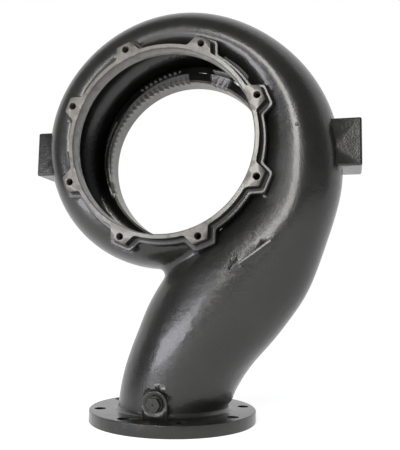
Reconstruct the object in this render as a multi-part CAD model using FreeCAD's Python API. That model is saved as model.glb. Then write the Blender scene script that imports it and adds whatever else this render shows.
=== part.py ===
"""Volute pump casing with a DN 200 discharge flange, in grey cast iron.

Frame: millimetres, +Z up. The origin is the centre of the discharge flange's face, on which
the casing stands. The pump axis runs along Y at AXIS_HEIGHT. The motor side faces -Y and the
suction side faces +Y. Seen from the motor side the volute winds clockwise: from the tongue at
the bottom, up the left side, over the top and down the right side into the neck.
"""
import FreeCAD, Part
import math
import os

V = FreeCAD.Vector

# ---- overall ----
AXIS_HEIGHT = 555.0          # flange face to pump axis
FACE_DISTANCE = 126.0        # pump mid-plane to each machined end face
WALL = 12.0                  # cast wall

# ---- discharge flange ----
FLANGE_D = 340.0
FLANGE_T = 24.0
FLANGE_EDGE = 1.5            # turned edge break
FLANGE_PCD = 295.0
FLANGE_HOLES = 8
FLANGE_HOLE_D = 23.0
BORE_D = 200.0
CORE_STOCK = 1.0             # the cored passage is this much tighter than the turned bore

# ---- neck ----
NECK_LEAN = 30.0             # neck direction from vertical, degrees
NECK_OFFSET = 244.0          # pump axis to the neck's centre line
NECK_SETTLE = 0.55           # share of the neck over which its crest finds that line
NECK_OUTER_SWELL = 38.0      # extra width where the neck joins the ring, right side
NECK_INNER_SWELL = 10.5      # the same on the tongue side
OUTER_SWELL_PEAK = 0.86      # under 1 brings the swell nearer to the throat, over 1 further on
INNER_SWELL_PEAK = 2.5
NECK_END_OUT = 114.0         # centre line to the right side where the neck turns upright
NECK_END_IN = 120.0          # centre line to the left side there
FOOT_IN = 112.0              # centre line to the left side on the flange
ELBOW_X = 30.0               # where the elbow starts, across from the flange's centre
ELBOW_CURVE = 1.36           # how late the elbow's centre line comes over the flange
NECK_ROOT_R = 8.0            # fillet where the neck stands on the flange

# ---- volute ----
TONGUE_ANGLE = 250.0         # where the spiral law starts, degrees from +X seen from the motor side
SPIRAL_LEAD_IN = 40.0        # the ring starts this far before the tongue angle
SPIRAL_TURN = 280.0          # wrap from the tongue angle to the throat
OPENING_START = 190.0        # wrap past which the section opens towards the throat
SPIRAL_SECTIONS = 21
NECK_SECTIONS = 6
SECTION_POINTS = 16
WRAP_PITCH = 40.0            # spacing of the radii below
VOLUTE_RADII = [240.0, 255.0, 271.0, 284.0, 290.0, 300.0, 310.0, 335.0, 365.0]
CROWN_OUT = 63.0             # crest of the side wall to the outermost point of the section
THROAT_CROWN_OUT = 82.0
CROWN_IN = 52.0              # crest of the side wall to the innermost point of the section
THROAT_CROWN_IN = 120.0
HALF_DEPTH = 92.0            # half of the volute's outer width along the pump axis
MIDDLE_SHIFT = -6.0          # middle of the volute along the pump axis
CHANNEL_START = 20.0         # the channel starts this much shallower than its outer skin
CHANNEL_FADE = 60.0          # wrap over which it comes to its full depth
CROTCH_R = 14.0              # fillet where the ring and the neck part

# ---- machined openings on the pump axis ----
MOTOR_BORE_R = 185.0
MOTOR_BORE_DEPTH = 31.5
CHAMBER_R = 218.0            # impeller chamber between the side walls
CHAMBER_BEVEL = 22.5         # slope behind the motor-side bore
LIP_R = 192.0                # recess in front of the wear ring land
LIP_Y = 60.0
LIP_DEPTH = 6.0
LAND_R = 182.5
LAND_LENGTH = 20.0
SUCTION_BORE_R = 186.0
BORE_EDGE = 2.0

# ---- rim, lugs and pedestal, alike on both sides ----
RIM_W = 9.0
LUG_COUNT = 8
LUG_PCD = 410.0
LUG_REACH = 11.5             # hole centre to the flat outer side
LUG_HALF_FLAT = 15.0
LUG_FLARE = 24.0             # slant of the lug's flanks, degrees
LUG_CORNER_R = 4.0
LUG_ROOT_R = 8.0
LUG_DEPTH = 25.0             # thickness of rim and lugs
LUG_HOLE_D = 14.0            # tapping size of M16
LUG_HOLE_DEPTH = 28.0
LUG_HOLE_EDGE = 0.4          # edge break of the hole
DRILL_POINT = 118.0          # angle of the drill's point, degrees
STEP_W = 11.0                # the pedestal shows this much round the rim and lugs
STEP_ROOT_R = 6.0
STEP_EDGE_R = 2.5
PEDESTAL_DEPTH = 34.0        # its foot is sunk in the volute wall

# ---- side pads ----
PAD_H = 95.0
PAD_D = 98.0
PAD_RIGHT_X = 382.0
PAD_LEFT_X = 306.0
PAD_EDGE_R = 4.0

# ---- gauge boss and its plug ----
BOSS_R = 25.0
BOSS_Z = 51.0
BOSS_FACE_Y = 125.0
BOSS_EDGE_R = 2.0
SPOT_D = 38.0
SPOT_DEPTH = 1.0
PORT_D = 18.6                # tapping size of G 1/2
WASHER_D = 32.0
WASHER_T = 2.0
WASHER_EDGE = 0.5
PLUG_AF = 24.0
PLUG_HEAD = 9.0
PLUG_EDGE = 1.2
PLUG_DIMPLE_D = 5.0
PLUG_DIMPLE_DEPTH = 2.0
PLUG_THREAD = 12.0           # length screwed in

# ---- flow arrow ----
ARROW_R = 286.0              # its middle from the pump axis
ARROW_ANGLE = -52.5          # degrees from +X seen from the motor side
ARROW_LENGTH = 100.0
ARROW_W = 10.0
ARROW_HEAD_W = 30.0
ARROW_HEAD_L = 26.0
ARROW_RAISE = 2.5            # its face over the neck's crest

# ---- modelling ----
PAST = 1.0                   # cutters run this far past the faces that they open
TOUCH = 0.01                 # points nearer than this are taken as lying on each other


def ramp(x):
    """Smooth step from 0 to 1, held outside that range."""
    x = min(1.0, max(0.0, x))
    return x * x * (3.0 - 2.0 * x)


def mix(a, b, share):
    """Value between a and b."""
    return a + (b - a) * share


def at_axis(r, angle, y):
    """Point at radius r from the pump axis, angle in degrees from +X."""
    a = math.radians(angle)
    return V(r * math.cos(a), y, AXIS_HEIGHT + r * math.sin(a))


# ---- sections of the volute and the neck ----

def section(crest, outward, out, inn, half_depth, shift):
    """Points of a closed section: two half ellipses that meet at the crests of the side walls."""
    points = []
    for i in range(SECTION_POINTS):
        turn = 2 * math.pi * i / SECTION_POINTS
        reach = out if math.cos(turn) > 0 else inn
        points.append(crest + outward * (reach * math.cos(turn))
                      + V(0, shift + half_depth * math.sin(turn), 0))
    return points


def radius_slope(i):
    """Growth of the outer radius per pitch at the i-th of VOLUTE_RADII."""
    after = min(i + 1, len(VOLUTE_RADII) - 1)
    before = max(i - 1, 0)
    return (VOLUTE_RADII[after] - VOLUTE_RADII[before]) / (after - before)


def volute_radius(wrap):
    """Outer radius, a smooth curve through VOLUTE_RADII, the first at the ring's start."""
    place = (wrap + SPIRAL_LEAD_IN) / WRAP_PITCH
    i = int(min(len(VOLUTE_RADII) - 2, max(0, math.floor(place))))
    f = place - i
    bend = radius_slope(i) * f * (1 - f) ** 2 - radius_slope(i + 1) * (1 - f) * f ** 2
    return mix(VOLUTE_RADII[i], VOLUTE_RADII[i + 1], ramp(f)) + bend


def throat_share(wrap):
    """How far the section has opened towards the throat."""
    return ramp((wrap - OPENING_START) / (SPIRAL_TURN - OPENING_START))


def volute_section(wrap, inset):
    """Section of the ring at a wrap angle; inset 0 gives its outside and WALL its channel."""
    angle = TONGUE_ANGLE - wrap
    crown = mix(CROWN_OUT, THROAT_CROWN_OUT, throat_share(wrap))
    inner = mix(CROWN_IN, THROAT_CROWN_IN, throat_share(wrap))
    crest = at_axis(volute_radius(wrap) - crown, angle, 0)
    start = CHANNEL_START * (inset / WALL) * (1.0 - ramp((wrap + SPIRAL_LEAD_IN) / CHANNEL_FADE))
    return section(crest, at_axis(1, angle, 0) - at_axis(0, angle, 0), crown - inset - start,
                   inner - inset, HALF_DEPTH - inset, MIDDLE_SHIFT)


def neck_point(along, across):
    """Point of the mid-plane: along the neck from the throat, across it from the pump axis."""
    lean = math.radians(NECK_LEAN)
    return V(across * math.cos(lean) - along * math.sin(lean), 0,
             AXIS_HEIGHT - across * math.sin(lean) - along * math.cos(lean))


def neck_length():
    """Throat to the elbow's start, where the centre line passes x = ELBOW_X."""
    lean = math.radians(NECK_LEAN)
    return (NECK_OFFSET * math.cos(lean) - ELBOW_X) / math.sin(lean)


def neck_section(f, inset):
    """Section of the straight neck, f from 0 at the throat to 1 at the elbow."""
    outward = neck_point(0, 1) - neck_point(0, 0)
    throat_crest = volute_radius(SPIRAL_TURN) - THROAT_CROWN_OUT
    across = mix(throat_crest, NECK_OFFSET, ramp(f / NECK_SETTLE))
    out_swell = NECK_OUTER_SWELL * math.sin(math.pi * f ** OUTER_SWELL_PEAK) ** 2
    in_swell = NECK_INNER_SWELL * math.sin(math.pi * f ** INNER_SWELL_PEAK) ** 2
    out = mix(THROAT_CROWN_OUT, NECK_END_OUT, f) + out_swell
    inn = mix(THROAT_CROWN_IN, NECK_END_IN, f) + in_swell
    depth = mix(HALF_DEPTH, foot_radius(), ramp(f))
    return section(neck_point(neck_length() * f, across), outward, out - inset, inn - inset,
                   depth - inset, MIDDLE_SHIFT * (1.0 - ramp(f)))


def foot_radius():
    """Outer radius of the neck where it stands on the flange."""
    return BORE_D / 2 - CORE_STOCK + WALL


def foot_reach(inset):
    """Left side of the foot: thicker than the wall outside, but round with the bore inside."""
    return mix(FOOT_IN, foot_radius() - WALL, inset / WALL)


def elbow_section(f, inset):
    """Section of the elbow, f from 0 at the neck to 1 at the flange's back."""
    lean = math.radians(NECK_LEAN * (1.0 - f))
    outward = V(math.cos(lean), 0, -math.sin(lean))
    out = mix(NECK_END_OUT, foot_radius(), f) - inset
    inn = mix(NECK_END_IN - inset, foot_reach(inset), f)
    top = neck_point(neck_length(), NECK_OFFSET)
    centre = V(top.x * (1.0 - f) ** ELBOW_CURVE, 0, mix(top.z, FLANGE_T, f))
    return section(centre, outward, out, inn, foot_radius() - inset, 0.0)


def foot_section(inset):
    """Upright section in the flange's face."""
    half = foot_radius() - inset
    return section(V(0, 0, 0), V(1, 0, 0), half, foot_reach(inset), half, 0.0)


def all_sections(inset):
    """Sections from the ring's start to the flange face, and the index of the throat's."""
    step = (SPIRAL_TURN + SPIRAL_LEAD_IN) / (SPIRAL_SECTIONS - 1)
    sections = [volute_section(step * i - SPIRAL_LEAD_IN, inset) for i in range(SPIRAL_SECTIONS)]
    sections += [neck_section((i + 1.0) / NECK_SECTIONS, inset) for i in range(NECK_SECTIONS)]
    sections += [elbow_section(0.5, inset), elbow_section(1.0, inset), foot_section(inset)]
    return sections, SPIRAL_SECTIONS - 1


def spread(sections):
    """Parameter of each section, by the way its centre has come."""
    centres = [sum(points, V()) * (1.0 / SECTION_POINTS) for points in sections]
    steps = [0.0]
    for a, b in zip(centres, centres[1:]):
        steps.append(steps[-1] + (b - a).Length)
    return [s / steps[-1] for s in steps]


def skin(sections):
    """Smooth surface through the sections, closed round each of them."""
    rounds = []
    around = [i / float(SECTION_POINTS) for i in range(SECTION_POINTS + 1)]
    for points in sections:
        curve = Part.BSplineCurve()
        curve.interpolate(Points=points, PeriodicFlag=True, Parameters=around)
        rounds.append(curve)
    along = spread(sections)
    tracks = []
    for i in range(rounds[0].NbPoles):
        track = Part.BSplineCurve()
        track.interpolate(Points=[c.getPole(i + 1) for c in rounds], Parameters=along)
        tracks.append(track)
    surface = Part.BSplineSurface()
    surface.buildFromPolesMultsKnots([t.getPoles() for t in tracks],
                                     rounds[0].getMultiplicities(), tracks[0].getMultiplicities(),
                                     rounds[0].getKnots(), tracks[0].getKnots(), True, False,
                                     rounds[0].Degree, tracks[0].Degree)
    return surface, along


def tube(surface, start, end):
    """Solid stretch of the skin from one parameter to another, with flat ends."""
    piece = surface.copy()
    u0, u1, v0, v1 = surface.bounds()
    piece.segment(u0, u1, start, end)
    side = piece.toShape()
    ends = [Part.Face(Part.Wire([piece.vIso(v).toShape()])) for v in (start, end)]
    shell = Part.makeShell([side] + ends)
    shell.sewShape()
    body = Part.makeSolid(shell)
    if body.Volume < 0:
        body.reverse()
    return body


def ring_and_neck(inset):
    """Solid ring and solid neck, split at the throat."""
    sections, throat = all_sections(inset)
    surface, along = skin(sections)
    return tube(surface, along[0], along[throat]), tube(surface, along[throat], along[-1])


# ---- hub: rim, lugs and pedestal ----

def lug_half(grow, corner_r, root_r):
    """Points of one half of a lug in (radial, tangential), from the flat to the rim."""
    flare = math.radians(LUG_FLARE)
    rim_r = MOTOR_BORE_R + RIM_W + grow
    reach = LUG_PCD / 2 + LUG_REACH + grow
    half = LUG_HALF_FLAT + grow * (1.0 - math.sin(flare)) / math.cos(flare)
    n = V(math.sin(flare), math.cos(flare), 0)
    d = V(-math.cos(flare), math.sin(flare), 0)
    corner = V(reach, half, 0)
    tip = V(reach - corner_r, half - corner_r * (1.0 - math.sin(flare)) / math.cos(flare), 0)
    flank = corner + n * root_r
    b = d.dot(flank)
    run = -b - math.sqrt(b * b - flank.dot(flank) + (rim_r + root_r) ** 2)
    root = flank + d * run
    middle = (V(1, 0, 0) + n).normalize()
    to_rim = root * (rim_r / root.Length)
    inward = ((root - n * root_r) - root).normalize() + (to_rim - root).normalize()
    return [V(reach, tip.y, 0), tip + middle * corner_r, tip + n * corner_r,
            root - n * root_r, root + inward.normalize() * root_r, to_rim]


def hub_outline(grow, corner_r, root_r):
    """Closed outline of rim and lugs, in the plane y = 0, about the pump axis."""
    rim_r = MOTOR_BORE_R + RIM_W + grow
    pitch = 360.0 / LUG_COUNT
    half = lug_half(grow, corner_r, root_r)
    edges = []
    for i in range(LUG_COUNT):
        middle = (i + 0.5) * pitch

        def place(p, side):
            turn = math.degrees(math.atan2(p.y, p.x))
            return at_axis(p.Length, middle + side * turn, 0)

        low = [place(p, -1) for p in half]
        high = [place(p, 1) for p in half]
        edges.append(Part.Arc(low[5], low[4], low[3]).toShape())
        edges.append(Part.makeLine(low[3], low[2]))
        edges.append(Part.Arc(low[2], low[1], low[0]).toShape())
        edges.append(Part.makeLine(low[0], high[0]))
        edges.append(Part.Arc(high[0], high[1], high[2]).toShape())
        edges.append(Part.makeLine(high[2], high[3]))
        edges.append(Part.Arc(high[3], high[4], high[5]).toShape())
        rest = at_axis(rim_r, (i + 1.0) * pitch, 0)
        following = at_axis(half[5].Length, middle + pitch
                            - math.degrees(math.atan2(half[5].y, half[5].x)), 0)
        edges.append(Part.Arc(high[5], rest, following).toShape())
    return Part.Wire(edges)


def middle_of(edge):
    """Point half way along the edge."""
    return edge.valueAt((edge.FirstParameter + edge.LastParameter) / 2)


def edges_at(shape, y, keep):
    """Edges that lie wholly in the plane y and whose middle passes keep."""
    found = []
    for e in shape.Edges:
        box = e.BoundBox
        flat = abs(box.YMin - y) < TOUCH and abs(box.YMax - y) < TOUCH
        if flat and keep(middle_of(e)):
            found.append(e)
    return found


def hub():
    """Solid hub of the motor side, with its face at y = -FACE_DISTANCE."""
    top = Part.Face(hub_outline(0.0, LUG_CORNER_R, LUG_ROOT_R))
    foot = Part.Face(hub_outline(STEP_W, LUG_CORNER_R + STEP_W / 2, LUG_ROOT_R))
    step_y = LUG_DEPTH - FACE_DISTANCE
    rim = top.translated(V(0, -FACE_DISTANCE, 0)).extrude(V(0, LUG_DEPTH, 0))
    pedestal = foot.translated(V(0, step_y, 0)).extrude(V(0, PEDESTAL_DEPTH, 0))
    body = rim.fuse(pedestal).removeSplitter()
    outline = hub_outline(0.0, LUG_CORNER_R, LUG_ROOT_R)
    body = body.makeFillet(STEP_ROOT_R, edges_at(body, step_y, lambda p: follows(p, outline)))
    return body.makeFillet(STEP_EDGE_R, outer_edges(body, step_y))


def follows(p, outline):
    """Whether the point, seen along the pump axis, lies on the outline."""
    return Part.Vertex(V(p.x, 0, p.z)).distToShape(outline)[0] < TOUCH


def outer_edges(body, step_y):
    """Edges of the pedestal's outer border."""
    border = hub_outline(STEP_W, LUG_CORNER_R + STEP_W / 2, LUG_ROOT_R)
    return edges_at(body, step_y, lambda p: follows(p, border))


def both_sides(shape):
    """The shape with its mirror image in the pump's mid-plane."""
    return [shape, shape.mirror(V(0, 0, 0), V(0, 1, 0))]


# ---- what stands on the casting ----

def flange():
    """Discharge flange, without its bore and holes."""
    body = Part.makeCylinder(FLANGE_D / 2, FLANGE_T)
    return body.makeChamfer(FLANGE_EDGE, [e for e in body.Edges if e.Closed])


def flange_holes():
    """The turned discharge bore and the bolt holes round it."""
    holes = [Part.makeCylinder(BORE_D / 2, FLANGE_T + PAST, V(0, 0, -PAST))]
    for i in range(FLANGE_HOLES):
        turn = 2 * math.pi * (i + 0.5) / FLANGE_HOLES
        foot = V(FLANGE_PCD / 2 * math.cos(turn), FLANGE_PCD / 2 * math.sin(turn), -PAST)
        holes.append(Part.makeCylinder(FLANGE_HOLE_D / 2, FLANGE_T + 2 * PAST, foot))
    return holes


def pad(outer_x, side):
    """Rectangular pad whose outer face stands at outer_x to one side, its root in the volute."""
    root = MOTOR_BORE_R + RIM_W + STEP_W
    low = min(side * outer_x, side * root)
    body = Part.makeBox(outer_x - root, PAD_D, PAD_H,
                        V(low, -PAD_D / 2, AXIS_HEIGHT - PAD_H / 2))
    outer = [e for e in body.Edges if abs(middle_of(e).x - side * root) > TOUCH]
    return body.makeFillet(PAD_EDGE_R, outer)


def gauge_boss():
    """Pad with an arched top on the neck's foot."""
    depth = BOSS_FACE_Y - BORE_D / 2
    arch = Part.makeCylinder(BOSS_R, depth, V(0, -BORE_D / 2, BOSS_Z), V(0, -1, 0))
    stem = Part.makeBox(2 * BOSS_R, depth, BOSS_Z - FLANGE_T / 2,
                        V(-BOSS_R, -BOSS_FACE_Y, FLANGE_T / 2))
    body = arch.fuse(stem).removeSplitter()
    rim = edges_at(body, -BOSS_FACE_Y, lambda p: p.z > BOSS_Z - BOSS_R)
    return body.makeFillet(BOSS_EDGE_R, rim)


def neck_crest(p):
    """The point p of the mid-plane, brought out to the neck's near crest."""
    lean = math.radians(NECK_LEAN)
    along = -p.x * math.sin(lean) - (p.z - AXIS_HEIGHT) * math.cos(lean)
    share = ramp(along / neck_length())
    y = MIDDLE_SHIFT * (1.0 - share) - mix(HALF_DEPTH, foot_radius(), share)
    return V(p.x, y, p.z)


def flow_arrow():
    """Raised arrow along the neck's crest, pointing the way the water leaves."""
    turn = math.radians(ARROW_ANGLE)
    middle = at_axis(ARROW_R, ARROW_ANGLE, 0)
    half_way = V(math.sin(turn), 0, -math.cos(turn)) * (ARROW_LENGTH / 2)
    tail = neck_crest(middle - half_way) - V(0, ARROW_RAISE, 0)
    tip = neck_crest(middle + half_way) - V(0, ARROW_RAISE, 0)
    along = (tip - tail).normalize()
    across = V(math.cos(turn), 0, math.sin(turn))
    neck = ARROW_LENGTH - ARROW_HEAD_L
    half = [(0, ARROW_W / 2), (neck, ARROW_W / 2), (neck - ARROW_W / 2, ARROW_HEAD_W / 2)]
    outline = half + [(ARROW_LENGTH, 0)] + [(u, -v) for u, v in reversed(half)]
    points = [tail + along * u + across * v for u, v in outline]
    face = Part.Face(Part.makePolygon(points + points[:1]))
    return face.extrude(V(0, WALL, 0))


# ---- what is cut from it ----

def chamber():
    """Impeller chamber with the machined openings of both sides, turned about the pump axis."""
    near, far = -FACE_DISTANCE, FACE_DISTANCE
    throat = near + MOTOR_BORE_DEPTH
    bevel_r = MOTOR_BORE_R + CHAMBER_BEVEL
    land_y = LIP_Y + LIP_DEPTH
    profile = [(0, near - PAST), (MOTOR_BORE_R + BORE_EDGE + PAST, near - PAST),
               (MOTOR_BORE_R, near + BORE_EDGE), (MOTOR_BORE_R, throat),
               (bevel_r, throat + CHAMBER_BEVEL), (CHAMBER_R, throat + CHAMBER_BEVEL),
               (CHAMBER_R, LIP_Y), (LIP_R, LIP_Y), (LIP_R, land_y), (LAND_R, land_y),
               (LAND_R, land_y + LAND_LENGTH), (SUCTION_BORE_R, land_y + LAND_LENGTH),
               (SUCTION_BORE_R, far - BORE_EDGE), (SUCTION_BORE_R + BORE_EDGE + PAST, far + PAST),
               (0, far + PAST)]
    points = [V(r, y, AXIS_HEIGHT) for r, y in profile]
    face = Part.Face(Part.makePolygon(points + points[:1]))
    return face.revolve(V(0, 0, AXIS_HEIGHT), V(0, 1, 0), 360)


def lug_hole(angle):
    """Tapped blind hole of the motor side, with its drill point and edge break."""
    r = LUG_HOLE_D / 2
    y = -FACE_DISTANCE
    point = r / math.tan(math.radians(DRILL_POINT / 2))
    profile = [(0, y - PAST), (r + LUG_HOLE_EDGE + PAST, y - PAST), (r, y + LUG_HOLE_EDGE),
               (r, y + LUG_HOLE_DEPTH), (0, y + LUG_HOLE_DEPTH + point)]
    centre = at_axis(LUG_PCD / 2, angle, 0)
    points = [V(centre.x + u, v, centre.z) for u, v in profile]
    face = Part.Face(Part.makePolygon(points + points[:1]))
    return face.revolve(centre, V(0, 1, 0), 360)


def lug_holes():
    """Tapped holes of both sides."""
    pitch = 360.0 / LUG_COUNT
    holes = []
    for i in range(LUG_COUNT):
        holes += both_sides(lug_hole((i + 0.5) * pitch))
    return holes


def gauge_port():
    """Spot face and tapping through the neck's wall."""
    spot = Part.makeCylinder(SPOT_D / 2, SPOT_DEPTH + PAST,
                             V(0, SPOT_DEPTH - BOSS_FACE_Y, BOSS_Z), V(0, -1, 0))
    port = Part.makeCylinder(PORT_D / 2, BOSS_FACE_Y, V(0, 0, BOSS_Z), V(0, -1, 0))
    return [spot, port]


def shell_blank():
    """Solid ring and neck on the flange, with the fillets at the crotch and at the flange."""
    ring, neck = ring_and_neck(0.0)
    body = ring.fuse(neck)
    body = body.makeFillet(CROTCH_R, [e for e in body.Edges if at_crotch(e, body)])
    body = body.fuse(flange())
    return body.makeFillet(NECK_ROOT_R, [e for e in body.Edges if at_neck_root(e)])


def at_crotch(edge, body):
    """Whether the edge runs where the ring meets the neck outside the hub."""
    hub_foot = AXIS_HEIGHT - MOTOR_BORE_R - RIM_W - STEP_W
    p = middle_of(edge)
    return p.z < hub_foot and not edge.Closed and len(body.ancestorsOfType(edge, Part.Face)) == 2


def at_neck_root(edge):
    """Whether the edge runs on the flange round the neck's foot."""
    box = edge.BoundBox
    level = abs(box.ZMin - FLANGE_T) < TOUCH and abs(box.ZMax - FLANGE_T) < TOUCH
    return level and box.XMax < FLANGE_PCD / 2 - FLANGE_HOLE_D / 2


def casing():
    """The whole casting, cored and machined."""
    body = shell_blank().fuse(both_sides(hub()))
    body = body.fuse([pad(PAD_RIGHT_X, 1), pad(PAD_LEFT_X, -1), gauge_boss(), flow_arrow()])
    body = body.cut(list(ring_and_neck(WALL)) + [chamber()])
    return body.cut(lug_holes() + flange_holes() + gauge_port())


def plug_washer():
    """Sealing washer on the spot face."""
    seat = V(0, SPOT_DEPTH - BOSS_FACE_Y, BOSS_Z)
    ring = Part.makeCylinder(WASHER_D / 2, WASHER_T, seat, V(0, -1, 0))
    ring = ring.makeChamfer(WASHER_EDGE, [e for e in ring.Edges if e.Closed])
    return ring.cut(Part.makeCylinder(PORT_D / 2, WASHER_T, seat, V(0, -1, 0)))


def plug():
    """Hexagon-head screw plug, its threaded shank in the port."""
    seat = V(0, SPOT_DEPTH - BOSS_FACE_Y - WASHER_T, BOSS_Z)
    r = PLUG_AF / 2 / math.cos(math.pi / 6)
    corners = []
    for i in range(6):
        turn = math.pi * i / 3
        corners.append(seat + V(r * math.cos(turn), 0, r * math.sin(turn)))
    head = Part.Face(Part.makePolygon(corners + corners[:1])).extrude(V(0, -PLUG_HEAD, 0))
    turned = Part.makeCylinder(r, PLUG_HEAD, seat, V(0, -1, 0))
    face_y = seat.y - PLUG_HEAD
    turned = turned.makeChamfer(PLUG_EDGE, edges_at(turned, face_y, lambda p: True))
    head = head.common(turned)
    dimple = Part.makeCone(0, PLUG_DIMPLE_D / 2, PLUG_DIMPLE_DEPTH,
                           V(0, face_y + PLUG_DIMPLE_DEPTH, BOSS_Z), V(0, -1, 0))
    shank = Part.makeCylinder(PORT_D / 2, WASHER_T + PLUG_THREAD, seat, V(0, 1, 0))
    return head.cut(dimple).fuse(shank)


def save(shape, name):
    """Writes the solid of one node."""
    shape.exportStep("parts/" + name + ".step")


if __name__ == "__main__":
    os.makedirs("parts", exist_ok=True)
    save(casing(), "casing")
    save(plug_washer(), "plug_sealing_washer")
    save(plug(), "gauge_port_plug")
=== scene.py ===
"""Studio picture of a volute pump casing: painted casting, gauge plug, washer and lug threads."""

import math

import bmesh
import bpy
from bpy.props import FloatProperty, FloatVectorProperty, IntProperty, PointerProperty
from mathutils import Matrix, Vector


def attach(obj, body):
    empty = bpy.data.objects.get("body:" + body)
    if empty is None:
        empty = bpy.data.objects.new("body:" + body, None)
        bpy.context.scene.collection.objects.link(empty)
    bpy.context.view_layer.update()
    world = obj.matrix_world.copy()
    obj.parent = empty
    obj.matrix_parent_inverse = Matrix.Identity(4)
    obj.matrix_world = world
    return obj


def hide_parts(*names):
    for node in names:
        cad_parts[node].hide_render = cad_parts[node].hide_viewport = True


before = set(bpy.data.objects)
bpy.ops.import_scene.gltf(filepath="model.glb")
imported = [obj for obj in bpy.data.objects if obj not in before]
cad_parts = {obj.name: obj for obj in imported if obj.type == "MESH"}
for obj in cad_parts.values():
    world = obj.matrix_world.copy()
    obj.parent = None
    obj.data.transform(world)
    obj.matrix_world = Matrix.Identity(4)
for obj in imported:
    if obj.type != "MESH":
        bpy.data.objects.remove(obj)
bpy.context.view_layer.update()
# Where the pump axis, which runs along Y, crosses the mid-plane.
AXIS = Vector((0.0, 0.0, 0.555))

# Radii round the pump axis whose long edges are split, and the cuts in each.
TURNED = (0.185, 0.187, 0.2075, 0.218, 0.192, 0.1825, 0.186, 0.188)
TURNED_CUTS = 3
LONG_EDGE = 0.003
SAME_PLACE = 1e-5
ON_RING = 2e-5
JOINED = 1e-6

# Each machined face fades in between two sizes, from none to full.
LUG_FACE_Y = (0.12585, 0.12595)
RIM_R = (0.222, 0.221)
MOTOR_BORE_R = (0.1872, 0.1868)
MOTOR_BORE_Y = (-0.0943, -0.0947)
SUCTION_BORE_R = (0.1878, 0.1874)
SUCTION_BORE_Y = (0.0655, 0.0659)
FOOT_Z = (0.0003, 0.0001)

# Marks of use on the paint, as place and radius.
RUST = ((-0.012, -0.152, 0.024), 0.012)
RUST_COLOUR = (0.16, 0.025, 0.012, 1.0)
PIT = ((0.262, -0.098, 0.580), 0.0045)
CHIP = ((-0.068, -0.158, 0.010), 0.012)

# Thread turns: steps in a turn, and the ridge's radius as a share of the pitch.
THREAD_STEPS = 20
RIDGE_SIDES = 4
RIDGE_SHARE = 0.34
THREAD_START = 0.0015

# Lamps: name, place, width, height, glow and tint.
LAMPS = (("front_window", (-0.15, -2.6, 1.35), 0.55, 1.3, 16.0, (1.0, 0.98, 0.94)),
         ("low_window", (-1.45, -2.15, 0.45), 1.5, 0.55, 11.0, (0.95, 0.94, 1.0)))
LAMP_TARGET = (0.05, 0.0, 0.45)
FLOOR_COLOUR = (0.86, 0.86, 0.86, 1.0)
FLOOR_GLOW = 0.80
BACKDROP_FADE = 0.35

bl_info = {
    "name": "Volute pump casing",
    "version": (1, 0, 0),
    "blender": (4, 5, 0),
    "location": "3D View > Sidebar > Casing",
    "description": "Dresses the cast volute casing and sets it on a pale studio floor",
    "category": "Object",
}


# ---- settings ----

class CastingSettings(bpy.types.PropertyGroup):
    paint: FloatVectorProperty(
        name="Paint", description="Colour of the black casing paint", subtype="COLOR",
        default=(0.0095, 0.0095, 0.0085), min=0.0, max=1.0)
    machined: FloatVectorProperty(
        name="Machined iron", description="Colour of the turned and milled faces",
        subtype="COLOR", default=(0.20, 0.19, 0.17), min=0.0, max=1.0)
    gloss: FloatProperty(
        name="Paint roughness", description="Roughness of the paint", default=0.30,
        min=0.0, max=1.0, subtype="FACTOR")
    peel: FloatProperty(
        name="Orange peel", description="Size of the paint's ripples", default=0.004,
        min=0.0005, max=0.05, unit="LENGTH")
    grain: FloatProperty(
        name="Cast grain", description="Size of the sand grain under the paint",
        default=0.0016, min=0.0002, max=0.02, unit="LENGTH")
    smooth_angle: FloatProperty(
        name="Edge angle", description="Edges turned more than this stay sharp",
        default=math.radians(32), subtype="ANGLE", unit="ROTATION")


class ThreadSettings(bpy.types.PropertyGroup):
    circle: FloatProperty(
        name="Hole circle radius", description="Pump axis to the lug holes",
        default=0.205, unit="LENGTH")
    count: IntProperty(
        name="Holes", description="Tapped holes on each side", default=8, min=1)
    core: FloatProperty(
        name="Core radius", description="Radius of the tapping hole", default=0.007,
        unit="LENGTH")
    pitch: FloatProperty(
        name="Pitch", description="Thread pitch", default=0.002, unit="LENGTH")
    turns: IntProperty(
        name="Turns", description="Turns of thread that are drawn", default=9, min=1)
    face: FloatProperty(
        name="Face", description="Pump mid-plane to the lug faces", default=0.126,
        unit="LENGTH")


class StageSettings(bpy.types.PropertyGroup):
    eye: FloatVectorProperty(
        name="Camera place", description="Where the camera stands", subtype="TRANSLATION",
        default=(0.3548, -1.2196, 0.2614), unit="LENGTH")
    yaw: FloatProperty(
        name="Yaw", description="Camera turned to the left", subtype="ANGLE",
        default=math.radians(13.977), unit="ROTATION")
    pitch: FloatProperty(
        name="Pitch", description="Camera tilted up", subtype="ANGLE",
        default=math.radians(6.326), unit="ROTATION")
    roll: FloatProperty(
        name="Roll", description="Camera rolled", subtype="ANGLE",
        default=math.radians(0.922), unit="ROTATION")
    lens: FloatProperty(
        name="Lens", description="Focal length on a 36 mm sensor", default=48.06,
        subtype="DISTANCE_CAMERA", unit="CAMERA")
    floor: FloatProperty(
        name="Floor size", description="Side of the square floor", default=14.0,
        unit="LENGTH")
    world: FloatProperty(
        name="Room light", description="Strength of the room's light", default=0.25, min=0.0)
    backdrop_edge: FloatProperty(
        name="Backdrop edge", description="How far round to the front the backdrop shows in gloss",
        default=-0.1, min=-1.0, max=1.0)


# ---- shader helper ----

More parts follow.
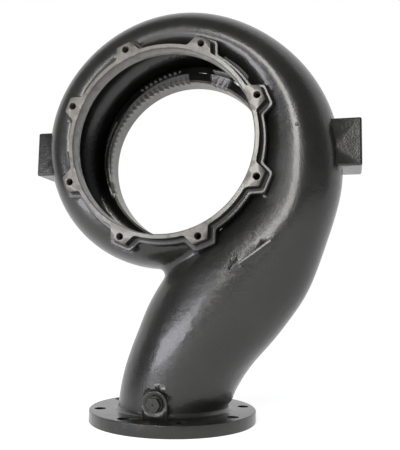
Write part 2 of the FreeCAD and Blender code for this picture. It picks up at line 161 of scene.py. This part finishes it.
class Wire:
    """A shader socket that takes part in sums as a number does."""

    def __init__(self, make, socket):
        self.make = make
        self.socket = socket

    def _do(self, operation, a, b=None):
        inputs = {0: a}
        if b is not None:
            inputs[1] = b
        return self.make("ShaderNodeMath", {"operation": operation}, inputs)

    def __add__(self, other):
        return self._do("ADD", self, other)

    __radd__ = __add__

    def __sub__(self, other):
        return self._do("SUBTRACT", self, other)

    def __rsub__(self, other):
        return self._do("SUBTRACT", other, self)

    def __mul__(self, other):
        return self._do("MULTIPLY", self, other)

    __rmul__ = __mul__

    def abs(self):
        return self._do("ABSOLUTE", self)

    def root(self):
        return self._do("SQRT", self)

    def most(self, other):
        return self._do("MAXIMUM", self, other)


class Finish:
    """A new material with a Principled shader, and the makers of its other nodes."""

    def __init__(self, name):
        self.material = bpy.data.materials.new(name)
        self.material.use_nodes = True
        self.tree = self.material.node_tree
        self.tree.nodes.clear()
        self.output = self.tree.nodes.new("ShaderNodeOutputMaterial")
        self.shader = self.tree.nodes.new("ShaderNodeBsdfPrincipled")
        self.tree.links.new(self.shader.outputs[0], self.output.inputs[0])

    def make(self, kind, settings=None, inputs=None, out=0):
        """One output of a new node with these settings and socket values or links."""
        node = self.tree.nodes.new(kind)
        for key, value in (settings or {}).items():
            setattr(node, key, value)
        for key, value in (inputs or {}).items():
            self.feed(node.inputs[key], value)
        return Wire(self.make, node.outputs[out])

    def feed(self, socket, value):
        """Links a wire to the socket, or sets its value."""
        if isinstance(value, Wire):
            self.tree.links.new(value.socket, socket)
        else:
            socket.default_value = value

    def set(self, **sockets):
        """Feeds the Principled shader's sockets, with _ for a space in a name."""
        for key, value in sockets.items():
            self.feed(self.shader.inputs[key.replace("_", " ")], value)

    def place(self):
        """Object coordinates and their three parts, in metres."""
        coords = self.make("ShaderNodeTexCoord", out="Object")
        split = self.tree.nodes.new("ShaderNodeSeparateXYZ")
        self.tree.links.new(coords.socket, split.inputs[0])
        return coords, [Wire(self.make, split.outputs[i]) for i in range(3)]

    def noise(self, coords, size, detail, roughness):
        """Noise whose grains are about this size."""
        return self.make("ShaderNodeTexNoise", {}, {
            "Vector": coords, "Scale": 1.0 / size, "Detail": detail,
            "Roughness": roughness})

    def step(self, value, low, high):
        """0 below low, 1 above high; the other way round if low is the greater."""
        if low > high:
            return 1.0 - self.step(value, high, low)
        return self.make("ShaderNodeMapRange", {"interpolation_type": "SMOOTHSTEP"}, {
            "Value": value, "From Min": low, "From Max": high})

    def near(self, coords, point, radius):
        """1 at a point, 0 from radius on."""
        distance = self.make("ShaderNodeVectorMath", {"operation": "DISTANCE"},
                             {0: coords, 1: point}, out="Value")
        return self.step(distance, radius, 0.0)

    def blend(self, share, a, b):
        """Mix of two colours."""
        return self.make("ShaderNodeMix", {"data_type": "RGBA"},
                         {"Factor": share, 6: a, 7: b}, out=2)

    def bump(self, height, distance, strength):
        """Normal of a surface raised by this height."""
        return self.make("ShaderNodeBump", {}, {
            "Height": height, "Distance": distance, "Strength": strength})


def colour(value, share=1.0):
    """The colour made darker or lighter by this share, with full alpha."""
    return (value[0] * share, value[1] * share, value[2] * share, 1.0)


def sums(tree, operation, a, b):
    """Output of a Math node of this tree on two sockets or numbers."""
    node = tree.nodes.new("ShaderNodeMath")
    node.operation = operation
    for i, value in enumerate((a, b)):
        if isinstance(value, (int, float)):
            node.inputs[i].default_value = value
        else:
            tree.links.new(value, node.inputs[i])
    return node.outputs[0]


# ---- materials ----

def painted_casting(s):
    """Semi-gloss black paint on sand-cast iron, with the machined faces left greyer."""
    m = Finish("painted casting")
    coords, (x, y, z) = m.place()
    up = z - AXIS.z
    r = (x * x + up * up).root()

    face = m.step(y.abs(), *LUG_FACE_Y) * m.step(r, *RIM_R)
    near_bore = m.step(r, *MOTOR_BORE_R) * m.step(y, *MOTOR_BORE_Y)
    far_bore = m.step(r, *SUCTION_BORE_R) * m.step(y, *SUCTION_BORE_Y)
    foot = m.step(z, *FOOT_Z)
    cut = face.most(near_bore).most(far_bore).most(foot)

    cloud = m.noise(coords, 0.11, 4.0, 0.6)
    fine = m.noise(coords, s.grain, 2.0, 0.6)
    peel = m.noise(coords, s.peel, 2.0, 0.5)
    cast = m.noise(coords, 0.018, 3.0, 0.55)

    dust = m.step(cloud, 0.35, 0.75)
    paint = m.blend(dust, colour(s.paint), colour(s.paint, 1.9))
    wear = m.step(m.noise(coords, 0.02, 4.0, 0.7), 0.45, 0.7)
    metal = m.blend(wear, colour(s.machined), colour(s.machined, 0.55))
    rust = m.near(coords, *RUST) * m.step(fine, 0.42, 0.6)
    base = m.blend(cut, paint, metal)
    base = m.blend(rust, base, RUST_COLOUR)

    rough = s.gloss + (cloud - 0.5) * 0.20 + (fine - 0.5) * 0.12
    rough = rough + cut * 0.06

    pit = m.near(coords, *PIT)
    chip = m.near(coords, *CHIP)
    skin = 1.0 - cut
    height = (cast * 0.55 + peel * 0.28 * skin + fine * 0.10) - pit * 1.3 - chip * 0.8
    m.set(Base_Color=base, Roughness=rough, Normal=m.bump(height, 0.0011, 0.9))
    m.shader.inputs["Coat Weight"].default_value = 0.25
    m.shader.inputs["Coat Roughness"].default_value = 0.12
    return m.material


def painted_steel(name, s, size):
    """The casing's paint over a smooth turned piece."""
    m = Finish(name)
    coords, _ = m.place()
    fine = m.noise(coords, size, 3.0, 0.6)
    base = m.blend(m.step(fine, 0.35, 0.7), colour(s.paint, 1.5),
                   colour(s.paint, 3.5))
    m.set(Base_Color=base, Roughness=0.3 + (fine - 0.5) * 0.2,
          Normal=m.bump(fine, 0.0003, 0.8))
    return m.material


def thread_steel(s):
    """Dark oiled iron in the tapped holes."""
    m = Finish("tapped thread")
    coords, _ = m.place()
    fine = m.noise(coords, 0.0015, 3.0, 0.6)
    base = m.blend(fine, colour(s.machined, 0.25), colour(s.machined, 0.7))
    m.set(Base_Color=base, Roughness=0.4 + fine * 0.2)
    return m.material


# ---- pieces ----

def place(name, mesh):
    """A new object of this mesh at the origin."""
    piece = bpy.data.objects.new(name, mesh)
    bpy.context.scene.collection.objects.link(piece)
    return piece


def finished(holder, name):
    """The holder's mesh with its modifiers applied, as a new piece."""
    graph = bpy.context.evaluated_depsgraph_get()
    mesh = bpy.data.meshes.new_from_object(holder.evaluated_get(graph), depsgraph=graph)
    mesh.name = name
    holder.modifiers.clear()
    bpy.data.objects.remove(holder)
    return place(name, mesh)


def from_axis(point):
    """Distance from the pump axis."""
    return math.hypot(point.x, point.z - AXIS.z)


def turned_finer(work, radii, cuts):
    """Splits the long edges that run round these radii and moves their new points out."""
    rings = []
    for edge in work.edges:
        a, b = (v.co for v in edge.verts)
        r = from_axis(a)
        level = abs(a.y - b.y) < SAME_PLACE and abs(r - from_axis(b)) < SAME_PLACE
        turned = any(abs(r - size) < ON_RING for size in radii)
        if level and turned and edge.calc_length() > LONG_EDGE:
            rings.append(edge)
    old = set(work.verts)
    made = bmesh.ops.subdivide_edges(work, edges=rings, cuts=cuts)
    for v in {g for g in made["geom_inner"] if isinstance(g, bmesh.types.BMVert)} - old:
        r = from_axis(v.co)
        share = min(radii, key=lambda size: abs(size - r)) / r
        v.co.x *= share
        v.co.z = AXIS.z + (v.co.z - AXIS.z) * share


def merged_copy(node, name, angle, radii=()):
    """A copy of a CAD node's mesh, joined, with finer turned faces and even shading."""
    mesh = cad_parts[node].data.copy()
    mesh.materials.clear()
    work = bmesh.new()
    work.from_mesh(mesh)
    bmesh.ops.remove_doubles(work, verts=work.verts, dist=JOINED)
    if radii:
        turned_finer(work, radii, TURNED_CUTS)
        bmesh.ops.triangulate(work, faces=[f for f in work.faces if len(f.verts) > 3])
    work.to_mesh(mesh)
    work.free()
    mesh.shade_smooth()
    mesh.set_sharp_from_angle(angle=angle)
    holder = place(name + "_maker", mesh)
    even = holder.modifiers.new("even", "WEIGHTED_NORMAL")
    even.mode = "FACE_AREA"
    even.weight = 50
    even.keep_sharp = True
    return finished(holder, name)


def fit(piece, node):
    """Lets the piece stand for the CAD node."""
    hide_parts(node)
    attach(piece, "root")


class CASING_OT_casting(bpy.types.Operator):
    """Dresses the cast casing"""
    bl_idname = "casing.casting"
    bl_label = "Casting"

    def execute(self, context):
        s = context.scene.casing_casting
        piece = merged_copy("casing", "cast_casing", s.smooth_angle, TURNED)
        piece.data.materials.append(painted_casting(s))
        fit(piece, "casing")
        return {"FINISHED"}


class CASING_OT_plug(bpy.types.Operator):
    """Dresses the gauge port's plug and washer"""
    bl_idname = "casing.plug"
    bl_label = "Plug and washer"

    def execute(self, context):
        s = context.scene.casing_casting
        for node, name, slot in (("gauge_port_plug", "hexagon_plug", "plug"),
                                 ("plug_sealing_washer", "sealing_washer", "washer")):
            piece = merged_copy(node, name, s.smooth_angle)
            piece.data.materials.append(painted_steel(name.replace("_", " "), s, 0.003))
            fit(piece, node)
        return {"FINISHED"}


def node_group(name, sockets):
    """A Geometry Nodes tree with these named inputs."""
    group = bpy.data.node_groups.new(name, "GeometryNodeTree")
    group.interface.new_socket("Geometry", in_out="OUTPUT", socket_type="NodeSocketGeometry")
    for label, kind in sockets:
        group.interface.new_socket(label, in_out="INPUT", socket_type=kind)
    return group


def thread_tree(material):
    """Turns of thread in every tapped hole of one side, round the pump axis."""
    number, whole = "NodeSocketFloat", "NodeSocketInt"
    group = node_group("lug threads", [("Circle", number), ("Count", whole), ("Core", number),
                                       ("Pitch", number), ("Turns", whole), ("Face", number)])
    add, link = group.nodes.new, group.links.new
    given = add("NodeGroupInput")
    out = add("NodeGroupOutput")

    spiral = add("GeometryNodeCurveSpiral")
    spiral.inputs["Resolution"].default_value = THREAD_STEPS
    link(given.outputs["Turns"], spiral.inputs["Rotations"])
    link(given.outputs["Core"], spiral.inputs["Start Radius"])
    link(given.outputs["Core"], spiral.inputs["End Radius"])
    link(sums(group, "MULTIPLY", given.outputs["Turns"], given.outputs["Pitch"]),
         spiral.inputs["Height"])
    ridge = add("GeometryNodeCurvePrimitiveCircle")
    ridge.inputs["Resolution"].default_value = RIDGE_SIDES
    link(sums(group, "MULTIPLY", given.outputs["Pitch"], RIDGE_SHARE), ridge.inputs["Radius"])
    sweep = add("GeometryNodeCurveToMesh")
    link(spiral.outputs[0], sweep.inputs["Curve"])
    link(ridge.outputs[0], sweep.inputs["Profile Curve"])

    circle = add("GeometryNodeMeshCircle")
    link(given.outputs["Count"], circle.inputs["Vertices"])
    link(given.outputs["Circle"], circle.inputs["Radius"])
    turn = add("GeometryNodeTransform")
    link(circle.outputs[0], turn.inputs["Geometry"])
    half = sums(group, "DIVIDE", math.pi, given.outputs["Count"])
    spin = add("ShaderNodeCombineXYZ")
    link(half, spin.inputs[2])
    link(spin.outputs[0], turn.inputs["Rotation"])
    copies = add("GeometryNodeInstanceOnPoints")
    link(turn.outputs[0], copies.inputs["Points"])
    link(sweep.outputs[0], copies.inputs["Instance"])

    lay = add("GeometryNodeTransform")
    lay.inputs["Rotation"].default_value = (math.radians(90), 0.0, 0.0)
    link(copies.outputs[0], lay.inputs["Geometry"])
    shift = add("ShaderNodeCombineXYZ")
    link(given.outputs["Face"], shift.inputs[1])
    shift.inputs[2].default_value = AXIS.z
    link(shift.outputs[0], lay.inputs["Translation"])

    real = add("GeometryNodeRealizeInstances")
    link(lay.outputs[0], real.inputs[0])
    coat = add("GeometryNodeSetMaterial")
    coat.inputs["Material"].default_value = material
    link(real.outputs[0], coat.inputs["Geometry"])
    link(coat.outputs[0], out.inputs[0])
    return group


def baked(group, values, name):
    """Plain mesh object of what the tree makes with these input values."""
    holder = place(name + "_maker", bpy.data.meshes.new(name + "_maker"))
    modifier = holder.modifiers.new("make", "NODES")
    modifier.node_group = group
    for item in group.interface.items_tree:
        if item.in_out == "INPUT":
            modifier[item.identifier] = values[item.name]
    return finished(holder, name)


class CASING_OT_threads(bpy.types.Operator):
    """Cuts thread turns in the tapped lug holes of both sides"""
    bl_idname = "casing.threads"
    bl_label = "Lug threads"

    def execute(self, context):
        t = context.scene.casing_thread
        group = thread_tree(thread_steel(context.scene.casing_casting))
        depth = t.turns * t.pitch
        for name, start in (("motor_side_threads", -t.face + depth + THREAD_START),
                            ("suction_side_threads", t.face - THREAD_START)):
            piece = baked(group, {"Circle": t.circle, "Count": t.count, "Core": t.core,
                                  "Pitch": t.pitch, "Turns": t.turns, "Face": start}, name)
            if not piece.data.polygons:
                raise RuntimeError(name + " came out empty")
            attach(piece, "root")
        return {"FINISHED"}


# ---- stage ----

def floor_material():
    """Matt floor that takes the casing's shadow and is nearly white to the camera."""
    m = Finish("studio floor")
    m.tree.nodes.remove(m.shader)
    path = m.tree.nodes.new("ShaderNodeLightPath")
    seen = Wire(m.make, path.outputs["Is Camera Ray"])
    seen = seen.most(Wire(m.make, path.outputs["Is Glossy Ray"]))
    seen = seen.most(Wire(m.make, path.outputs["Is Transmission Ray"]))
    matt = m.make("ShaderNodeBsdfDiffuse", {}, {"Color": FLOOR_COLOUR})
    glow = m.make("ShaderNodeEmission", {},
                  {"Color": (1, 1, 1, 1), "Strength": seen * FLOOR_GLOW})
    both = m.make("ShaderNodeAddShader", {}, {0: matt, 1: glow})
    m.tree.links.new(both.socket, m.output.inputs[0])
    return m.material


def aim(spot, target):
    """Matrix of a lamp at spot that shines on target."""
    direction = (Vector(target) - Vector(spot)).normalized()
    turn = direction.to_track_quat("-Z", "Y").to_matrix().to_4x4()
    return Matrix.Translation(spot) @ turn


def softbox(name, spot, width, height, glow, tint):
    """Rectangular lamp of an even glow, the same from any distance."""
    lamp = bpy.data.lights.new(name, "AREA")
    lamp.shape = "RECTANGLE"
    lamp.size = width
    lamp.size_y = height
    lamp.energy = glow * math.pi * width * height
    lamp.color = tint
    holder = bpy.data.objects.new(name, lamp)
    holder.matrix_world = aim(spot, LAMP_TARGET)
    bpy.context.scene.collection.objects.link(holder)


def room(s):
    """World: a white backdrop behind the casing and a dim room on the motor side."""
    world = bpy.data.worlds.new("room")
    world.use_nodes = True
    tree = world.node_tree
    tree.nodes.clear()
    make, link = tree.nodes.new, tree.links.new

    path = make("ShaderNodeLightPath")
    split = make("ShaderNodeSeparateXYZ")
    link(make("ShaderNodeTexCoord").outputs["Generated"], split.inputs[0])
    behind = make("ShaderNodeMapRange")
    behind.interpolation_type = "SMOOTHSTEP"
    behind.inputs["From Min"].default_value = s.backdrop_edge
    behind.inputs["From Max"].default_value = s.backdrop_edge + BACKDROP_FADE
    link(split.outputs[1], behind.inputs["Value"])
    mirrored = sums(tree, "MAXIMUM", path.outputs["Is Glossy Ray"],
                    path.outputs["Is Transmission Ray"])
    share = sums(tree, "MAXIMUM", path.outputs["Is Camera Ray"],
                 sums(tree, "MULTIPLY", mirrored, behind.outputs[0]))
    dim, white = make("ShaderNodeBackground"), make("ShaderNodeBackground")
    dim.inputs["Color"].default_value = (0.97, 0.98, 1.0, 1.0)
    dim.inputs["Strength"].default_value = s.world
    white.inputs["Color"].default_value = (1.0, 1.0, 1.0, 1.0)
    white.inputs["Strength"].default_value = 1.0
    mix = make("ShaderNodeMixShader")
    link(share, mix.inputs[0])
    link(dim.outputs[0], mix.inputs[1])
    link(white.outputs[0], mix.inputs[2])
    link(mix.outputs[0], make("ShaderNodeOutputWorld").inputs[0])
    return world


class CASING_OT_stage(bpy.types.Operator):
    """Lays the floor, sets the lamps, the room and the camera"""
    bl_idname = "casing.stage"
    bl_label = "Stage"

    def execute(self, context):
        s = context.scene.casing_stage
        half = s.floor / 2
        mesh = bpy.data.meshes.new("floor")
        mesh.from_pydata([(-half, -half, 0), (half, -half, 0), (half, half, 0),
                          (-half, half, 0)], [], [(0, 1, 2, 3)])
        floor = bpy.data.objects.new("floor", mesh)
        floor.data.materials.append(floor_material())
        context.scene.collection.objects.link(floor)

        for lamp in LAMPS:
            softbox(*lamp)

        context.scene.world = room(s)
        data = bpy.data.cameras.new("camera")
        data.sensor_width = 36.0
        data.lens = s.lens
        data.clip_end = 50.0
        camera = bpy.data.objects.new("camera", data)
        forward = Vector((-math.sin(s.yaw) * math.cos(s.pitch),
                          math.cos(s.yaw) * math.cos(s.pitch), math.sin(s.pitch)))
        right = Vector((math.cos(s.yaw), math.sin(s.yaw), 0.0))
        top = right.cross(forward)
        side = right * math.cos(s.roll) + top * math.sin(s.roll)
        top = top * math.cos(s.roll) - right * math.sin(s.roll)
        camera.matrix_world = Matrix((
            (side.x, top.x, -forward.x, s.eye[0]), (side.y, top.y, -forward.y, s.eye[1]),
            (side.z, top.z, -forward.z, s.eye[2]), (0, 0, 0, 1)))
        context.scene.collection.objects.link(camera)
        context.scene.camera = camera
        context.scene.view_settings.view_transform = "Standard"
        return {"FINISHED"}


class CASING_PT_panel(bpy.types.Panel):
    """Buttons and sizes of the casing"""
    bl_idname = "CASING_PT_panel"
    bl_label = "Pump casing"
    bl_space_type = "VIEW_3D"
    bl_region_type = "UI"
    bl_category = "Casing"

    def draw(self, context):
        scene = context.scene
        for heading, settings, operators in (
                ("Casting", scene.casing_casting, ("casing.casting", "casing.plug")),
                ("Threads", scene.casing_thread, ("casing.threads",)),
                ("Stage", scene.casing_stage, ("casing.stage",))):
            box = self.layout.box()
            box.label(text=heading)
            for key in settings.__annotations__:
                box.prop(settings, key)
            for name in operators:
                box.operator(name)


CLASSES = (CastingSettings, ThreadSettings, StageSettings, CASING_OT_casting, CASING_OT_plug,
           CASING_OT_threads, CASING_OT_stage, CASING_PT_panel)


def register():
    for cls in CLASSES:
        bpy.utils.register_class(cls)
    bpy.types.Scene.casing_casting = PointerProperty(type=CastingSettings)
    bpy.types.Scene.casing_thread = PointerProperty(type=ThreadSettings)
    bpy.types.Scene.casing_stage = PointerProperty(type=StageSettings)


def unregister():
    del bpy.types.Scene.casing_stage
    del bpy.types.Scene.casing_thread
    del bpy.types.Scene.casing_casting
    for cls in reversed(CLASSES):
        bpy.utils.unregister_class(cls)


def main():
    register()
    bpy.ops.casing.casting()
    bpy.ops.casing.plug()
    bpy.ops.casing.threads()
    bpy.ops.casing.stage()


if __name__ == "__main__":
    main()
